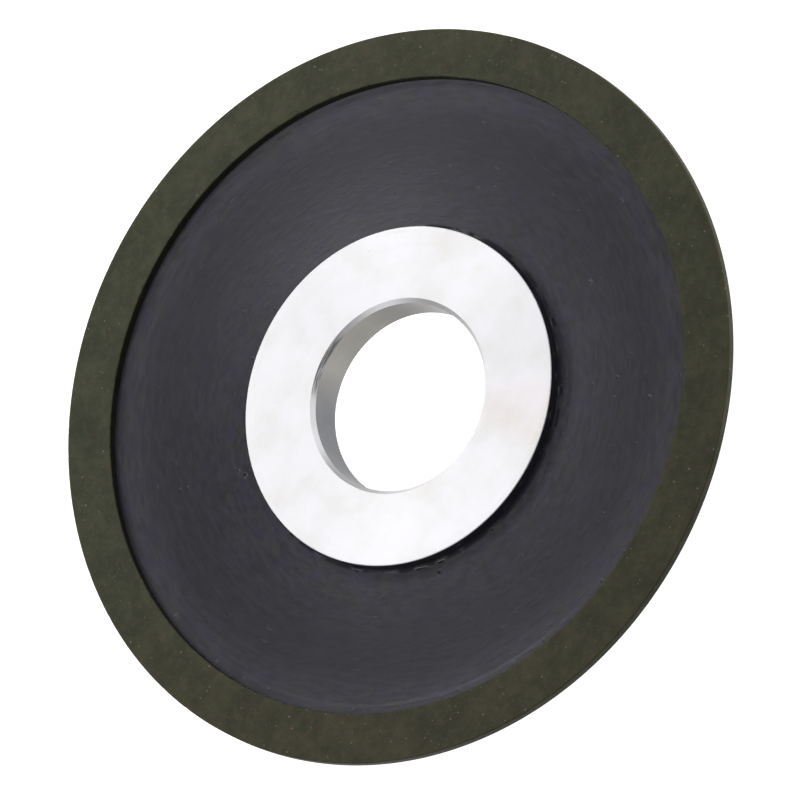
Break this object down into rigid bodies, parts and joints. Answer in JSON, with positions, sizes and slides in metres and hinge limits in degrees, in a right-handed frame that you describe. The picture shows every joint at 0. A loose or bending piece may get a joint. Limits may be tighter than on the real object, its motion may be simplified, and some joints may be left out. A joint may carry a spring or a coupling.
{
  "type": "diamond grinding wheel",
  "caption": "Resin-bond diamond grinding wheel: olive abrasive ring on a shallow dished black phenolic body tapered at the back, with a bored and chamfered aluminium hub.",
  "frame": {"origin": "centre of the hub's back face, on the wheel's axis", "axes": "+Z along the wheel's axis out of the grinding face; the wheel is round, so +X and +Y are any two square directions across it"},
  "size_m": [0.125, 0.125, 0.0084],
  "materials": {
    "hub_aluminium": "faced and bored on a lathe, bright satin",
    "body_phenolic": "moulded phenolic, turned, fine concentric tool marks",
    "plain_bond": "resin bond without diamond, matt",
    "diamond_bond": "resin bond with diamond grit, matt, ground"
  },
  "bodies": {
    "root": {"aluminium_hub": "hub_aluminium", "phenolic_body": "body_phenolic", "bond_base_ring": "plain_bond", "diamond_ring": "diamond_bond"}
  },
  "joints": []
}
